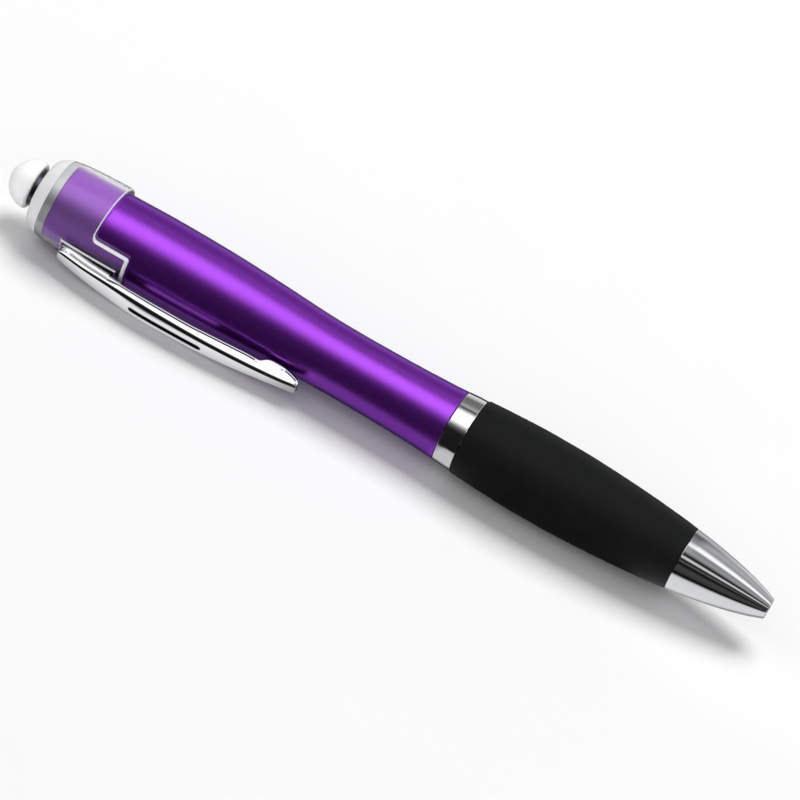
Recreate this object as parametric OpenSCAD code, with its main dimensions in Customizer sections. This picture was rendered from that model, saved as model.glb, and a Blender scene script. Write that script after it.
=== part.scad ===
// Twist-action ballpoint pen with a silicone stylus dome on its tail.
// The dome is also the push button of a small light inside the barrel.
// Millimetres. The pen lies on its side: the axis runs along X, the nose
// points to +X and the clip touches the surface on the -Y side.

/* [Lengths] */
// Chrome nose cone, from its front face to the grip
nose_len = 16.1; // [15.5:0.1:17]
// Rubber grip sleeve
grip_len = 39.4; // [38:0.1:41]
// Chrome centre ring
ring_len = 3.4; // [2.8:0.1:4]
// Barrel, from the centre ring to its rear end
barrel_len = 73.3; // [72.5:0.1:75]
// Length of the collar's tab in front of the skirt
tab_len = 6.65; // [5.6:0.05:7]

/* [Diameters] */
// Nose at its front face
nose_front_d = 3.6; // [3.4:0.1:4.2]
// Nose where it meets the grip
nose_back_d = 10.68; // [10.2:0.02:10.8]
// Grip at its widest
grip_max_d = 14.2; // [13.8:0.1:14.6]
// Front end of the barrel
barrel_front_d = 12.36; // [12:0.02:12.6]
// Waist of the barrel
waist_d = 11.36; // [11.2:0.02:11.8]
// Barrel at its widest
barrel_max_d = 13.6; // [13.2:0.1:13.8]
// Collar at its skirt
collar_d = 15; // [14.8:0.1:15.4]
// Silicone stylus dome
dome_d = 8.4; // [8:0.1:8.8]

/* [Clip] */
// Length of the clip
clip_len = 44.9; // [43:0.1:46]
// Widest part of the clip
clip_w = 5.3; // [4.9:0.1:5.6]
// Thickness of the clip's sheet
clip_t = 0.5; // [0.4:0.05:0.6]
// Height of the clip's folded sides at mid-length
clip_side_h = 1.15; // [1:0.05:1.3]
// Length of the slot through the clip's face
clip_slot_len = 13.4; // [8:0.1:16]
// Width of that slot
clip_slot_w = 1; // [0.6:0.1:1.2]

/* [Mechanism] */
// How far a half turn of the lower section feeds the refill
refill_travel = 4.5; // [3.5:0.1:4.5]
// How far the stylus dome can be pressed
press_travel = 1; // [0.6:0.1:1.1]

/* [Resting pose] */
// Angle of the clip below the horizontal, where its edge meets the surface
clip_drop = 29.5; // [28.5:0.1:29.5]

/* [Hidden] */
$fn = 96;

// Stations along the axis, measured from the front face of the nose
z_grip = nose_len;
z_ring = z_grip + grip_len;
z_bar = z_ring + ring_len;
z_top = z_bar + barrel_len;
z_end = z_top + 4;
z_dome = z_end + 1.55;
pen_len = z_dome + 0.05 + dome_d/2;
z_skirt = z_top - 8.75;
z_tab = z_skirt - tab_len;
z_clip = z_top - 4.1;
z_tip = z_clip - clip_len;
bar_r = barrel_max_d/2;
col_r = collar_d/2;

// Cubic through hand-set points [x, y], with slopes from their neighbours
function slope(p, i) = let(n = len(p), a = max(i - 1, 0), b = min(i + 1, n - 1))
    (p[b][1] - p[a][1])/(p[b][0] - p[a][0]);
function herm(p, i, t) = let(h = p[i+1][0] - p[i][0])
    [p[i][0] + h*t,
     (2*t*t*t - 3*t*t + 1)*p[i][1] + (t*t*t - 2*t*t + t)*h*slope(p, i)
     + (3*t*t - 2*t*t*t)*p[i+1][1] + (t*t*t - t*t)*h*slope(p, i + 1)];
function smooth(p, n = 3) = concat([for (i = [0:len(p)-2], k = [0:n-1]) herm(p, i, k/n)], [p[len(p)-1]]);
function seg(p, x, i = 0) = (i >= len(p) - 2 || x <= p[i+1][0]) ? i : seg(p, x, i + 1);
function val(p, x) = let(i = seg(p, x)) herm(p, i, (x - p[i][0])/(p[i+1][0] - p[i][0]))[1];
function back(p) = [for (i = [len(p)-1:-1:0]) p[i]];

// Outer shape of each section as [station, radius]
nose_r0 = nose_front_d/2;
nose_dr = nose_back_d/2 - nose_r0;
nose_pts = [for (q = [[0, 0], [0.16, 0.185], [0.37, 0.425], [0.65, 0.71], [0.83, 0.88], [1, 1]])
    [q[0]*nose_len, nose_r0 + q[1]*nose_dr]];
// The grip's crest is a short true cylinder, between grip_land_a and grip_land_b of its length
grip_land_a = 0.57;
grip_land_b = 0.73;
grip_fore = [for (q = [[0, 0.772], [0.07, 0.822], [0.2, 0.89], [0.3, 0.932], [0.4, 0.965], [0.48, 0.985],
                       [0.53, 0.9955], [grip_land_a, 1]])
    [z_grip + 0.05 + q[0]*(grip_len - 0.1), q[1]*grip_max_d/2]];
grip_aft = [for (q = [[grip_land_b, 1], [0.77, 0.9935], [0.84, 0.975], [0.93, 0.95], [0.985, 0.929]])
    [z_grip + 0.05 + q[0]*(grip_len - 0.1), q[1]*grip_max_d/2]];
bar_front = barrel_front_d/2;
waist = waist_d/2;
bar_pts = concat(
    [for (q = [[0, 1], [0.025, 0.76], [0.06, 0.54], [0.1, 0.33], [0.15, 0.15], [0.2, 0.05]])
        [z_bar + 0.1 + q[0]*(barrel_len - 0.1), waist + q[1]*(bar_front - waist)]],
    [for (q = [[0.26, 0], [0.32, 0.04], [0.36, 0.13], [0.4, 0.27], [0.45, 0.46], [0.5, 0.63], [0.55, 0.79],
               [0.6, 0.9], [0.65, 0.97], [0.7, 1], [0.75, 1], [0.8, 0.96], [0.85, 0.88], [0.9, 0.8], [1, 0.6]])
        [z_bar + 0.1 + q[0]*(barrel_len - 0.1), waist + q[1]*(bar_r - waist)]]);
function bar_at(z) = val(bar_pts, z);

// Clip: radius of its crowned face about the pen's axis, and half its width, along the pen
clip_face = [for (q = [[0, 8.61], [0.062, 8.95], [0.16, 9.42], [0.27, 9.93], [0.385, 10.4], [0.515, 10.74], [0.645, 10.76],
                       [0.78, 10.12], [0.885, 9.48], [0.965, 8.95], [1, 8.66]])
    [z_tip + q[0]*clip_len, q[1]]];
clip_half = [for (q = [[0, 0.45], [0.012, 0.515], [0.062, 0.52], [0.16, 0.525], [0.27, 0.635], [0.385, 0.775], [0.515, 0.92],
                       [0.645, 1], [0.78, 0.85], [0.885, 0.63], [0.965, 0.49], [0.985, 0.42], [1, 0.28]])
    [z_tip + q[0]*clip_len, q[1]*clip_w/2]];
clip_z = [for (i = [0:24]) z_tip + clip_len*i/24];
function face_r(z) = val(clip_face, z);
function half_w(z) = val(clip_half, z);
// Where the face's edge is, and the lower edge of the folded sides: they are shallower towards the tip
function edge_r(z) = sqrt(face_r(z)*face_r(z) - half_w(z)*half_w(z));
function side_r(z) = edge_r(z) - clip_side_h*(0.64 + 0.69*(z - z_tip)/clip_len);
z_hump = z_tip + 5.4;
hump_r = bar_at(z_hump) + 0.25;
slot_mid = z_tip + 0.523*clip_len;

// Resting pose: height of the axis, and its offset that centres the outline
clip_out = max([for (z = clip_z) edge_r(z)*cos(clip_drop) + half_w(z)*sin(clip_drop)]);
axis_y = (clip_out - col_r)/2;
axis_z = col_r;

// Carries a piece from the pen's own axis (station up, clip towards +X) to the resting pose
module place() translate([pen_len/2, axis_y, axis_z]) rotate([90 + clip_drop, 0, 0]) rotate([0, -90, 0]) children();
module lathe(p) rotate_extrude() polygon([for (q = p) [q[1], q[0]]]);
module pipe(z0, z1, ro, ri) lathe([[z0, ri], [z0, ro], [z1, ro], [z1, ri]]);
module rod(z0, z1, r) translate([0, 0, z0]) cylinder(r = r, h = z1 - z0);
// Outline in the plane of the axis and the clip, given as [station, radius], carried across the clip's width
module side(p, w) rotate([90, 0, 0]) translate([0, 0, -w/2]) linear_extrude(w) polygon([for (q = p) [q[1], q[0]]]);
// Outline seen along the clip's face, given as [station, offset], carried outwards from x0 to x1
module plan(p, x0, x1) translate([x0, 0, 0]) rotate([90, 0, 90]) linear_extrude(x1 - x0) polygon([for (q = p) [q[1], q[0]]]);
// Round wire wound from z0 to z1, with the wire's own surface inside those stations
module coil(z0, z1, rm, rw, turns, steps = 14, sides = 6) {
    n = round(turns*steps);
    pts = [for (i = [0:n], k = [0:sides-1])
        let(a = 360*i/steps, z = z0 + rw + (z1 - z0 - 2*rw)*i/n, r = rm + rw*cos(360*k/sides))
        [r*cos(a), r*sin(a), z + rw*sin(360*k/sides)]];
    fcs = concat(
        [[for (k = [0:sides-1]) k]],
        [for (i = [0:n-1], k = [0:sides-1]) let(a = i*sides + k, b = i*sides + (k + 1)%sides)
            [a, a + sides, b + sides, b]],
        [[for (k = [sides-1:-1:0]) n*sides + k]]);
    polyhedron(points = pts, faces = fcs);
}

// ---- lower section: turns against the barrel ----

// Chrome-plated nose with a bore for the point, a spring chamber and a screwed spigot
module nose_cone() color([0.8, 0.81, 0.83]) place()
    lathe(concat([[0, nose_r0 - 0.2], [0.12, nose_r0 - 0.04]],
        [for (q = smooth(nose_pts)) if (q[0] > 0.3) q],
        [[nose_len, 4.2], [nose_len + 6.4, 4.2], [nose_len + 6.4, 2.35], [5.5, 2.35], [4.9, 1.25], [0, 1.25]]));

// Soft bulged sleeve, stretched over the grip tube
module grip_sleeve() color([0.08, 0.08, 0.09]) place()
    let(a = z_ring - 0.05, r = grip_aft[len(grip_aft)-1][1])
    lathe(concat([[z_grip + 0.05, 5], [z_grip + 0.05, grip_fore[0][1] - 0.15]],
        [for (q = smooth(grip_fore)) if (q[0] > z_grip + 0.2) q], smooth(grip_aft),
        [[a - 0.3, r - 0.09], [a - 0.1, r - 0.24], [a, r - 0.45], [a, 5]]));

// Stiff core of the lower section: takes the nose's spigot in front and the drive tube behind
module grip_tube() color([0.16, 0.16, 0.17]) place()
    lathe([[z_grip + 0.1, 4.25], [z_grip + 0.1, 4.95], [z_ring - 0.1, 4.95], [z_ring - 0.1, 4.3], [z_bar + 1.5, 4.3],
        [z_bar + 1.5, 3.23], [z_ring - 3.5, 3.23], [z_ring - 3.5, 2.9], [z_grip + 6.8, 2.9], [z_grip + 6.8, 4.25]]);

// Chrome ring between grip and barrel
module center_ring() color([0.82, 0.83, 0.85]) place()
    let(a = z_ring, b = z_bar, ra = grip_max_d/2*0.9, rb = bar_front + 0.04)
    lathe([[a, 4.35], [a, ra - 0.12], [a + 0.12, ra], [a + 0.4*ring_len, (ra + rb)/2 + 0.05],
        [b - 0.12, rb], [b, rb - 0.12], [b, 4.35]]);

// Tube that carries the turn into the barrel, slotted lengthwise for the plunger's lugs
module drive_tube() color([0.72, 0.72, 0.7]) place() difference() {
    pipe(z_ring - 3.4, z_bar + 29.4, 3.2, 2.45);
    translate([-0.85, -4, z_bar + 13.1]) cube([1.7, 8, 7.3]);
    pipe(z_bar + 28, z_bar + 28.9, 3.6, 3);
}

// Spring clip in the drive tube's groove, which keeps the lower section in the barrel
module retaining_ring() color([0.6, 0.6, 0.62]) place() difference() {
    pipe(z_bar + 28.05, z_bar + 28.85, 4.35, 3.02);
    translate([0, -0.6, z_bar + 27]) cube([6, 1.2, 3]);
}

// ---- refill: slides in the lower section ----

ball_z = 1.9;
// Metal point with the ball's socket and the ink channel
module refill_tip() color([0.78, 0.76, 0.7]) place() difference() {
    lathe([[ball_z - 0.15, 0], [ball_z - 0.15, 0.64], [4.9, 1.15], [10.8, 1.15], [10.8, 1.04], [15, 1.04], [15, 0]]);
    translate([0, 0, ball_z]) sphere(r = 0.53, $fn = 48);
    rod(ball_z, 16, 0.28);
}

// Carbide writing ball
module writing_ball() color([0.35, 0.36, 0.38]) place() translate([0, 0, ball_z]) sphere(r = 0.5, $fn = 48);

// Ink tube with the collar that the return spring pushes on
module refill_tube() color([0.88, 0.9, 0.92]) place()
    lathe([[10.82, 1.05], [10.82, 1.5], [21, 1.5], [21, 2.1], [22, 2.1], [22, 1.5], [z_bar + 12.5, 1.5], [z_bar + 12.5, 1.05]]);

// Spring around the point, between the nose and the ink tube's collar
module return_spring() color([0.66, 0.67, 0.7]) place() coil(5.55, 20.95, 1.88, 0.2, 8);

lug_z = z_bar + 19;
// Plunger with two lugs: they follow the cam's grooves and feed the refill
module twist_plunger() color([0.92, 0.92, 0.9]) place() difference() {
    union() {
        rod(z_bar + 10.5, z_bar + 22, 2.35);
        translate([0, 0, lug_z]) rotate([90, 0, 0]) translate([0, 0, -4]) cylinder(r = 0.7, h = 8);
    }
    rod(z_bar + 10, z_bar + 12.55, 1.55);
}

// ---- upper section ----

// Sleeve fixed in the barrel, with two helical grooves inside
groove_a = 76;
module groove() {
    z0 = lug_z - refill_travel - 0.95;
    h = refill_travel + 1.9;
    rate = 180/refill_travel;
    n = 5;
    translate([0, 0, z0]) rotate([0, 0, 90 - rate*(lug_z - z0)])
        linear_extrude(height = h, twist = -rate*h, slices = 36, $fn = 8)
            polygon(concat([for (k = [0:n]) let(a = groove_a*(k/n - 0.5)) [3.1*cos(a), 3.1*sin(a)]],
                [for (k = [n:-1:0]) let(a = groove_a*(k/n - 0.5)) [4.3*cos(a), 4.3*sin(a)]]));
}
module twist_cam() color([0.9, 0.9, 0.86]) place() difference() {
    pipe(z_bar + 7, z_bar + 27.8, 4.7, 3.28);
    groove();
    rotate([0, 0, 180]) groove();
}

// Waisted barrel: narrow bore for the mechanism, wide bore for the light
module barrel() color([0.42, 0.1, 0.68]) place()
    lathe(concat([[z_bar + 0.1, 4.75], [z_bar + 0.1, bar_front - 0.12], [z_bar + 0.22, val(bar_pts, z_bar + 0.22)]],
        [for (q = smooth(bar_pts)) if (q[0] > z_bar + 0.4) q],
        [[z_top, 5.45], [z_bar + 34, 5.45], [z_bar + 32.5, 4.75]]));

// Clear cap over the barrel's tail: slightly slanted skirt, broad tab under the clip, slot for the clip's root
module collar() color([0.85, 0.88, 0.9, 0.5]) place() difference() {
    intersection() {
        lathe(concat([[z_tab - 1, col_r - 0.02], [z_skirt + 1, col_r], [z_skirt + 4, col_r - 0.1], [z_top - 1, col_r - 0.34],
            [z_top + 0.8, col_r - 0.58], [z_top + 2, col_r - 0.86], [z_top + 2.9, col_r - 1.24], [z_top + 3.5, col_r - 1.64],
            [z_top + 3.85, col_r - 2.02], [z_end, col_r - 2.5],
            [z_end, 3.6], [z_top + 2.5, 3.6], [z_top + 2.5, 4.5], [z_top + 1.7, 4.5], [z_top + 1.7, bar_at(z_top) + 0.04],
            [z_top, bar_at(z_top) + 0.04]],
            [for (z = [z_top - 2:-2:z_tab - 1]) [z, bar_at(z) + 0.04]], [[z_tab - 1, bar_at(z_tab - 1) + 0.04]]));
        union() {
            translate([0, 0, z_skirt]) rotate([0, -2.4, 0]) translate([-20, -20, 0]) cube([40, 40, 20]);
            plan(tab_outline, 0, 12);
        }
    }
    plan(slot_outline, 0, 12);
}
// Tab with round corners, and round fillets where it grows out of the skirt
tab_h = 4.75;
tab_half = concat([[z_skirt + 3, tab_h + 0.8]],
    [for (a = [0:15:90]) [z_skirt - 0.55 + 0.8*cos(a), tab_h + 0.8 - 0.8*sin(a)]],
    [for (a = [0:15:90]) [z_tab + 0.5 - 0.5*sin(a), tab_h - 0.5 + 0.5*cos(a)]]);
tab_outline = concat(tab_half, [for (q = back(tab_half)) [q[0], -q[1]]]);
slot_half = concat([[z_clip + 0.3, 1.7], [z_clip - 0.1, 2.1]], [[z_tab + 1.9, 2.1], [z_tab + 1.5, 1.7]]);
slot_outline = concat(slot_half, [for (q = back(slot_half)) [q[0], -q[1]]]);

// Bright ring inside the collar, on the barrel's rear end
module trim_ring() color([0.84, 0.85, 0.86]) place()
    lathe([[z_top + 0.05, 4.4], [z_top + 0.05, 6.24], [z_top + 0.2, 6.34], [z_top + 1.45, 6.34], [z_top + 1.6, 6.24], [z_top + 1.6, 4.4]]);

// Folded-sheet clip: bowed and crowned face with a slot, shallow sides, a hump that meets the barrel, a root in the collar's slot
module clip() color([0.8, 0.81, 0.83]) place() {
    difference() {
        intersection() {
            lathe(concat([[z_tip, 0]], [for (z = clip_z) [z, face_r(z)]], [[z_clip, 0]]));
            side(concat([[z_tip - 1, 13], [z_clip + 1, 13], [z_clip + 1, side_r(z_clip)]],
                [for (z = back(clip_z)) if (z > z_tip + 8.6) [z, side_r(z)]],
                [[z_tip + 7.7, side_r(z_tip + 8.6) - 0.12], [z_tip + 7.15, hump_r + 1.85], [z_tip + 6.7, hump_r + 1], [z_tip + 6.2, hump_r + 0.22],
                 [z_hump, hump_r], [z_hump - 0.6, hump_r], [z_tip + 3, hump_r + 0.45], [z_tip + 1.5, hump_r + 0.82],
                 [z_tip + 0.4, hump_r + 1.3], [z_tip, hump_r + 1.85], [z_tip - 1, hump_r + 1.85]]), 8);
            plan(concat([for (z = clip_z) [z, half_w(z)]], [for (z = back(clip_z)) [z, -half_w(z)]]), 0, 14);
        }
        // hollow underside between the folded sides
        intersection() {
            lathe(concat([[z_tip, 0]], [for (z = clip_z) [z, face_r(z) - clip_t]], [[z_clip, 0]]));
            plan(concat([for (z = clip_z) if (z > z_tip + 8.6 && z < z_tab + 1.5) [z, half_w(z) - clip_t]],
                [for (z = back(clip_z)) if (z > z_tip + 8.6 && z < z_tab + 1.5) [z, clip_t - half_w(z)]]), 4, 14);
        }
        translate([0, 0, slot_mid]) rotate([0, 90, 0]) translate([0, 0, 7]) {
            translate([-(clip_slot_len - clip_slot_w)/2, -clip_slot_w/2, 0]) cube([clip_slot_len - clip_slot_w, clip_slot_w, 6]);
            for (k = [-1, 1]) translate([k*(clip_slot_len - clip_slot_w)/2, 0, 0]) cylinder(d = clip_slot_w, h = 6, $fn = 32);
        }
    }
    // root: deeper sides that reach down to the collar, and a foot in its slot
    intersection() {
        union() {
            side(concat([for (z = clip_z) if (z > z_tab + 1.9 && z < z_clip - 0.6) [z, edge_r(z) - 0.3]],
                [[z_clip - 0.6, 7.6], [z_clip - 2.6, 7.52], [z_tab + 1.9, 7.95]]), 8);
            side([[z_tab + 2.2, 8.2], [z_clip - 1, 8.2], [z_clip - 1, 6.85], [z_tab + 2.2, 6.9]], 3);
        }
        plan(concat([for (z = clip_z) if (z > z_tab + 1) [z, half_w(z) - 0.1]],
            [for (z = back(clip_z)) if (z > z_tab + 1) [z, 0.1 - half_w(z)]]), 0, 14);
    }
}

// ---- light ----

// Cup for the cells, with a slot for the contact strip
z_hold = z_top - 28.2;
module battery_holder() color([0.9, 0.9, 0.92]) place() difference() {
    pipe(z_hold, z_top - 5.2, 5.4, 0);
    rod(z_hold + 1.2, z_top, 4.05);
    rod(z_hold - 1, z_top, 1.6);
    translate([-6, -1.15, z_hold - 1]) cube([2.1, 2.3, 18]);
}

module contact_spring() color([0.8, 0.72, 0.4]) place() coil(z_hold + 1.25, z_hold + 3.95, 2.5, 0.2, 2.5);

// Three button cells in a stack
module button_cells() color([0.75, 0.76, 0.78]) place()
    for (i = [0:2]) let(z = z_hold + 4 + 3.62*i)
        lathe([[z, 0], [z, 3.2], [z + 0.35, 3.55], [z + 0.45, 3.95], [z + 3.6, 3.95], [z + 3.6, 0]]);

// Brass strip from the light to the circuit board
module contact_strip() color([0.83, 0.68, 0.3]) place() {
    translate([-4.9, -1, z_hold - 0.5]) cube([0.3, 2, 16.7]);
    translate([-4.9, -1, z_hold - 0.5]) cube([3.7, 2, 0.3]);
    translate([-4.9, -1, z_hold + 15.95]) cube([1.9, 2, 0.25]);
}

// Light, pointing to the nose
module led() color([0.95, 0.95, 0.98]) place()
    lathe(concat([for (a = [0:15:90]) [z_hold - 4.6 - 1.5*cos(a), 1.5*sin(a)]],
        [[z_hold - 1.5, 1.5], [z_hold - 1.5, 1.9], [z_hold - 0.7, 1.9], [z_hold - 0.7, 0]]));

module led_leads() color([0.75, 0.75, 0.77]) place() {
    translate([0.95, 0, 0]) rod(z_hold - 0.68, z_hold + 1.15, 0.22);
    translate([-0.95, 0, 0]) rod(z_hold - 0.68, z_hold - 0.1, 0.22);
}

module circuit_board() color([0.1, 0.42, 0.2]) place() difference() {
    rod(z_hold + 15, z_hold + 15.9, 3.95);
    for (x = [-1.6, 1.6]) translate([0, x, 0]) rod(z_hold + 14, z_hold + 17, 0.3);
}

// Push switch on the circuit board, and its sliding actuator
module switch_body() color([0.12, 0.12, 0.13]) place() difference() {
    translate([-2.8, -2.8, z_hold + 15.95]) cube([5.6, 5.6, 4]);
    rod(z_hold + 16.6, z_hold + 21, 1.35);
}
module switch_actuator() color([0.85, 0.85, 0.85]) place()
    lathe([[z_hold + 17.9, 0], [z_hold + 17.9, 1.15], [z_hold + 18, 1.25], [z_hold + 21.98, 1.25], [z_hold + 21.98, 0]]);

// Plug that closes the holder and guides the button's stem
module guide_cap() color([0.88, 0.88, 0.9]) place()
    lathe([[z_top - 5.1, 1.65], [z_top - 5.1, 5.4], [z_top - 1.3, 5.4], [z_top - 1.3, 1.65]]);

// ---- stylus button ----

// Dark metal neck with a flange that stops under the collar, and a stem down to the switch
module button_stem() color([0.2, 0.2, 0.22]) place()
    lathe([[z_hold + 22, 0], [z_hold + 22, 1.5], [z_hold + 22.1, 1.6], [z_top + 1.75, 1.6], [z_top + 1.75, 4.1], [z_top + 2.42, 4.1],
        [z_top + 2.42, 3.4], [z_dome - 0.02, 3.4], [z_dome - 0.02, 2.4], [z_dome + 2, 2.4], [z_dome + 2, 0]]);

module button_spring() color([0.66, 0.67, 0.7]) place() coil(z_top - 1.25, z_top + 1.7, 2.6, 0.2, 3);

// Soft dome for touch screens, pushed over the neck's spigot
module stylus_dome() color([0.94, 0.95, 0.94]) place()
    let(r = dome_d/2, c = z_dome + 0.05)
    lathe(concat([[z_dome, 2.45], [z_dome, r - 0.25], [z_dome + 0.06, r - 0.1], [z_dome + 0.2, r - 0.01]],
        [for (a = [5:5:85]) [c + r*sin(a), r*cos(a)]], [[c + r, 0], [z_dome + 2.05, 0], [z_dome + 2.05, 2.45]]));

nose_cone();
grip_sleeve();
grip_tube();
center_ring();
drive_tube();
retaining_ring();
refill_tip();
writing_ball();
refill_tube();
return_spring();
twist_plunger();
twist_cam();
barrel();
collar();
trim_ring();
clip();
battery_holder();
contact_spring();
button_cells();
contact_strip();
led();
led_leads();
circuit_board();
switch_body();
switch_actuator();
guide_cap();
button_stem();
button_spring();
stylus_dome();
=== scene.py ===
import bpy, bmesh, math
from mathutils import Matrix, Vector
from mathutils.geometry import delaunay_2d_cdt


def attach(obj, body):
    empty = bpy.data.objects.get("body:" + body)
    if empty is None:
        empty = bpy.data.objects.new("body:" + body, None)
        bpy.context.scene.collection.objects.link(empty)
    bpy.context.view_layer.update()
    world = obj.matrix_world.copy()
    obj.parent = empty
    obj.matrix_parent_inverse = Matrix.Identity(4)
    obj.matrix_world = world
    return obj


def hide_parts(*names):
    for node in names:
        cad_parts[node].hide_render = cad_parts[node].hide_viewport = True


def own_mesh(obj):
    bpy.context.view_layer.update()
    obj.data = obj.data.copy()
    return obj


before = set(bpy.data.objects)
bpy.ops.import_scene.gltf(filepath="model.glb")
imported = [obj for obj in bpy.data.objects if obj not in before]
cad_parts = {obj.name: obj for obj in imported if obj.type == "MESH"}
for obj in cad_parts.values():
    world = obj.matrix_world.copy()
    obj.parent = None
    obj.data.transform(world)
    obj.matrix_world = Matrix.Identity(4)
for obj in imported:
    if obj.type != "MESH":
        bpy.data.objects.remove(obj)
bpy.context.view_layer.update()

# ---------------------------------------------------------------- pen frame
# Millimetres: station z runs from the nose's front face to the tail, x points to the clip.
PEN = 142.0
DROP = math.radians(29.5)
AXIS_Y, AXIS_Z = 1.45715, 7.5
CD, SD = math.cos(DROP), math.sin(DROP)


def P(x, y, z):
    return Vector(((PEN / 2 - z) / 1000, (AXIS_Y - x * CD - y * SD) / 1000, (AXIS_Z - x * SD + y * CD) / 1000))


def curve(pts):
    """Cubic through given points, with slopes from their neighbours."""
    n = len(pts)
    m = [(pts[min(i + 1, n - 1)][1] - pts[max(i - 1, 0)][1]) / (pts[min(i + 1, n - 1)][0] - pts[max(i - 1, 0)][0]) for i in range(n)]

    def f(x):
        i = 0
        while i < n - 2 and x > pts[i + 1][0]:
            i += 1
        h = pts[i + 1][0] - pts[i][0]
        t = (x - pts[i][0]) / h
        return ((2 * t**3 - 3 * t * t + 1) * pts[i][1] + (t**3 - 2 * t * t + t) * h * m[i]
                + (3 * t * t - 2 * t**3) * pts[i + 1][1] + (t**3 - t * t) * h * m[i + 1])
    return f


def span(a, b, n):
    return [a + (b - a) * i / n for i in range(n + 1)]


def step(a, b, x):
    t = min(1.0, max(0.0, (x - a) / (b - a)))
    return t * t * (3 - 2 * t)


Z_GRIP, Z_RING, Z_BAR, Z_TOP, Z_END, Z_DOME = 16.1, 55.5, 58.9, 132.2, 136.2, 137.75
Z_SKIRT, Z_TAB, Z_CLIP, Z_TIP = 123.45, 116.8, 128.1, 83.2
NOSE = curve([(0, 1.8), (2.25, 2.62), (4.7, 3.345), (7.1, 3.95), (9.5, 4.45), (12, 4.89), (14, 5.2), (16.1, 5.45)])
GRIP_A = curve([(16.15 + 39.3 * a, 7.1 * b) for a, b in ((0, .772), (.07, .822), (.2, .89), (.3, .932), (.4, .965), (.48, .985), (.53, .9955), (.57, 1))])
GRIP_B = curve([(16.15 + 39.3 * a, 7.1 * b) for a, b in ((.73, 1), (.77, .9935), (.84, .975), (.93, .95), (.985, .929), (1, .922))])
BAR = curve([(59 + 73.2 * a, 5.68 + b * 0.5) for a, b in ((0, 1), (.025, .76), (.06, .54), (.1, .33), (.15, .15), (.2, .05))]
            + [(59 + 73.2 * a, 5.68 + b * 1.12) for a, b in ((.26, 0), (.32, .04), (.36, .13), (.4, .27), (.45, .46), (.5, .63), (.55, .79), (.6, .9),
                                                            (.65, .97), (.7, 1), (.75, 1), (.8, .96), (.85, .88), (.9, .8), (1, .6))])


def rounded(path, seg=6):
    """Line of (z, r, radius): every corner with a radius becomes an arc."""
    out, n = [], len(path)
    for i in range(n):
        z, r, rad = path[i]
        if rad <= 0:
            out.append((z, r))
            continue
        p = Vector((z, r))
        a = Vector(path[i - 1][:2]) - p
        b = Vector(path[(i + 1) % n][:2]) - p
        half = a.angle(b) / 2
        d = min(rad / math.tan(half), a.length * 0.49, b.length * 0.49)
        rad = d * math.tan(half)
        c = p + (a.normalized() + b.normalized()).normalized() * (rad / math.sin(half))
        s, e = p + a.normalized() * d - c, p + b.normalized() * d - c
        turn = s.angle_signed(e)
        for k in range(seg + 1):
            t = -turn * k / seg
            out.append((c.x + s.x * math.cos(t) - s.y * math.sin(t), c.y + s.x * math.sin(t) + s.y * math.cos(t)))
    return out


def dense(path, longest=1.2, edge=0.12, closed=True):
    """Splits long straight runs, with points close to their ends, so that smooth shading stays in the corners."""
    out = []
    for i, a in enumerate(path):
        out.append(a)
        if i == len(path) - 1 and not closed:
            break
        b = path[(i + 1) % len(path)]
        d = math.hypot(b[0] - a[0], b[1] - a[1])
        if d > 4 * edge:
            n = max(1, math.ceil((d - 2 * edge) / longest))
            for s in [edge + (d - 2 * edge) * k / n for k in range(n + 1)]:
                out.append((a[0] + (b[0] - a[0]) * s / d, a[1] + (b[1] - a[1]) * s / d))
    return out


def spline(pts, n=4):
    """Smooth line through points (z, r)."""
    out = []
    for i in range(len(pts) - 1):
        p0, p1, p2, p3 = (Vector(pts[min(max(k, 0), len(pts) - 1)]) for k in (i - 1, i, i + 1, i + 2))
        for k in range(n):
            t = k / n
            q = 0.5 * (2 * p1 + (p2 - p0) * t + (2 * p0 - 5 * p1 + 4 * p2 - p3) * t * t + (3 * p1 - p0 - 3 * p2 + p3) * t**3)
            out.append((q.x, q.y))
    return out + [tuple(pts[-1])]


def piece(name, verts, faces, body, nodes, mat, sharp=38, second=None, second_faces=()):
    me = bpy.data.meshes.new(name)
    me.from_pydata([tuple(v) for v in verts], [], faces)
    for k in second_faces:
        me.polygons[k].material_index = 1
    bm = bmesh.new()
    bm.from_mesh(me)
    bmesh.ops.remove_doubles(bm, verts=bm.verts, dist=2e-8)
    bmesh.ops.dissolve_degenerate(bm, dist=1e-8, edges=bm.edges)
    bmesh.ops.recalc_face_normals(bm, faces=bm.faces)
    bm.to_mesh(me)
    bm.free()
    me.validate()
    o = bpy.data.objects.new(name, me)
    bpy.context.scene.collection.objects.link(o)
    me.polygons.foreach_set("use_smooth", [True] * len(me.polygons))
    me.set_sharp_from_angle(angle=math.radians(sharp))
    me.materials.append(mat)
    if second is not None:
        me.materials.append(second)
    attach(o, body)
    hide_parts(*nodes)
    return o


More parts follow.
